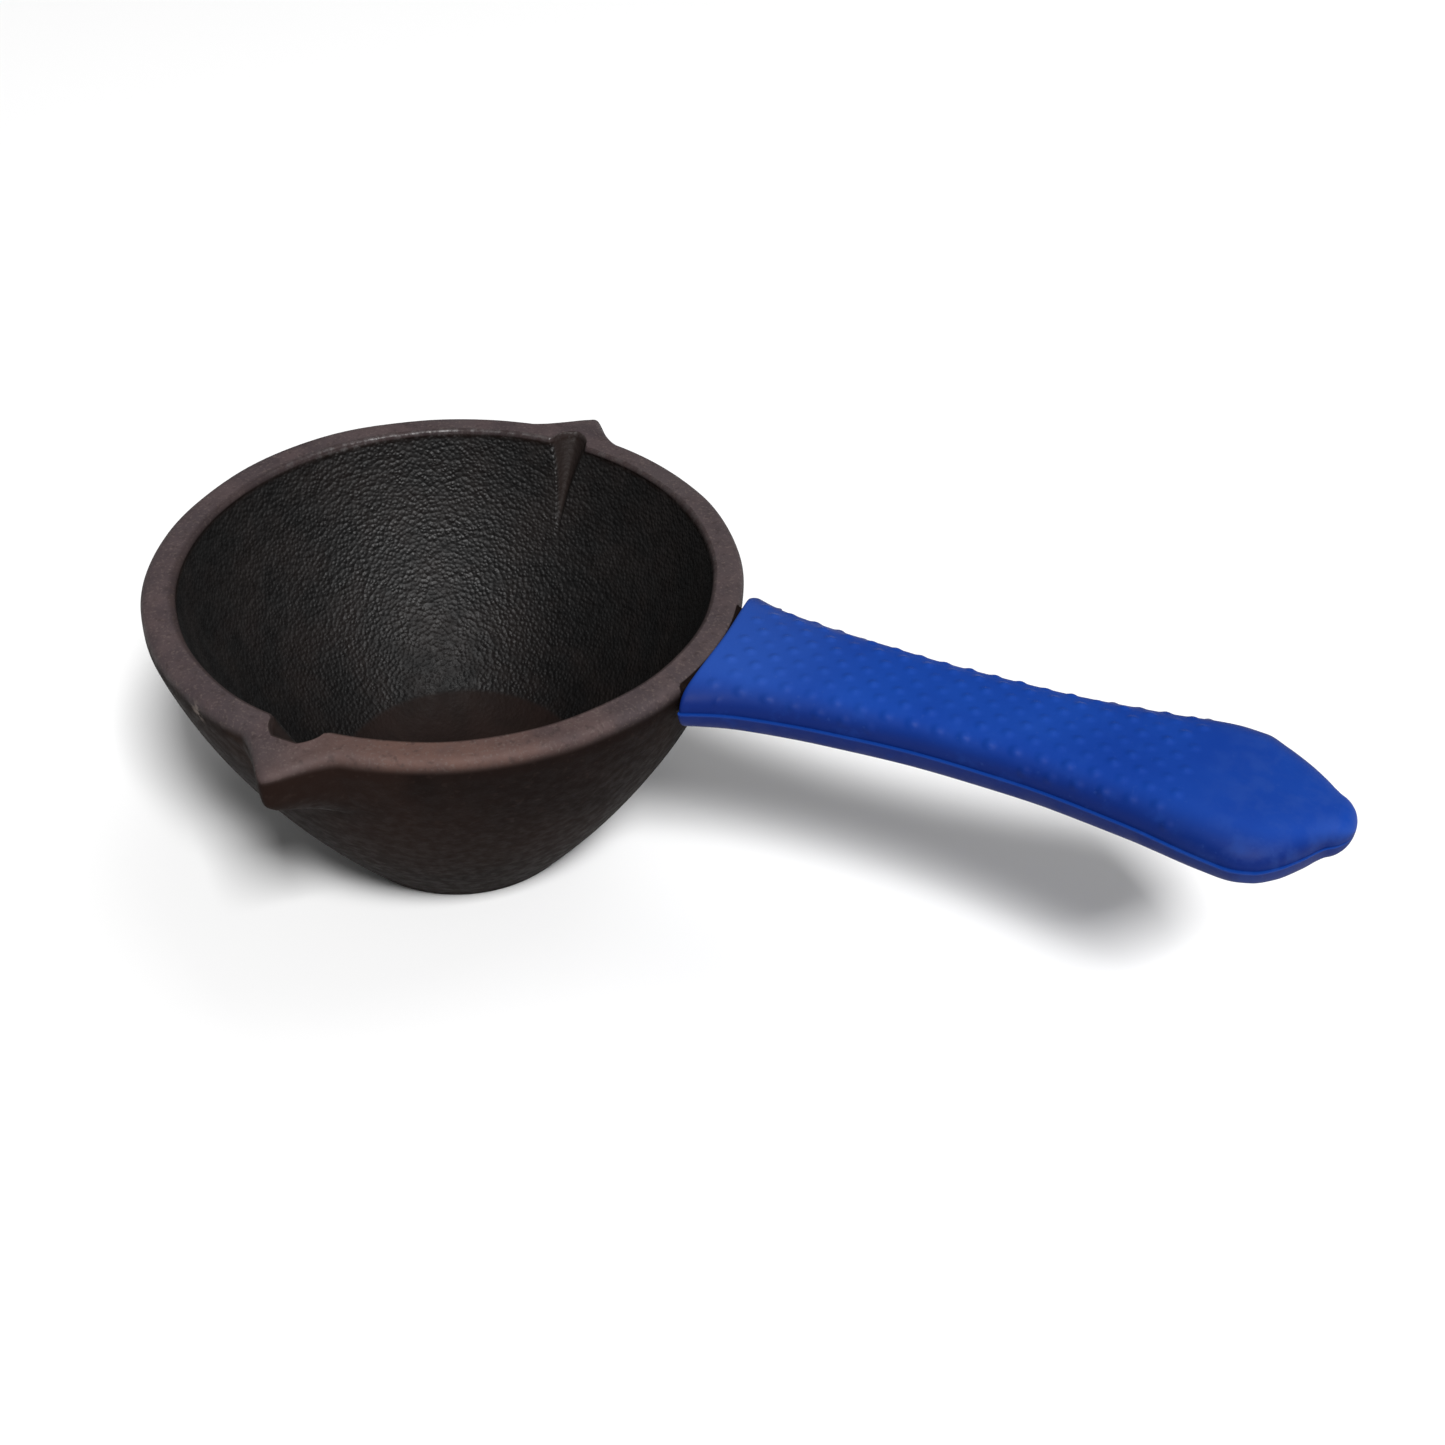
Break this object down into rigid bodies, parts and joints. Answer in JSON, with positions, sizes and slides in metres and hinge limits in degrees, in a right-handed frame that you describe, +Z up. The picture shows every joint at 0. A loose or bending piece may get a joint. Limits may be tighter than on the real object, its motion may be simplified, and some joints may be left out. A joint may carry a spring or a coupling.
{
  "type": "candle melting pot",
  "caption": "Small cast-iron wax melting pot with tapered round bowl, rolled rim, two opposite pouring spouts and a flat handle tang under a dotted silicone grip sleeve that pulls off.",
  "frame": {"origin": "centre of the base's flat underside, where the pot stands", "axes": "+Z up along the bowl's axis, +X along the handle away from the bowl, the two spouts point along +Y and -Y"},
  "size_m": [0.2437, 0.1378, 0.0687],
  "materials": {
    "cast_iron_pot": "seasoned black-brown iron, dull outside and on the rim, pebbled with an oily sheen inside",
    "silicone_handle_sleeve": "satin cobalt-blue silicone with raised dots on the crown"
  },
  "bodies": {
    "pot": {"cast_iron_pot": "cast_iron_pot"},
    "sleeve": {"silicone_handle_sleeve": "silicone_handle_sleeve"}
  },
  "joints": [
    {"name": "sleeve_slide", "type": "slide", "parent": "pot", "child": "sleeve", "axis": [1, 0, 0], "range_m": [0, 0.13]}
  ]
}
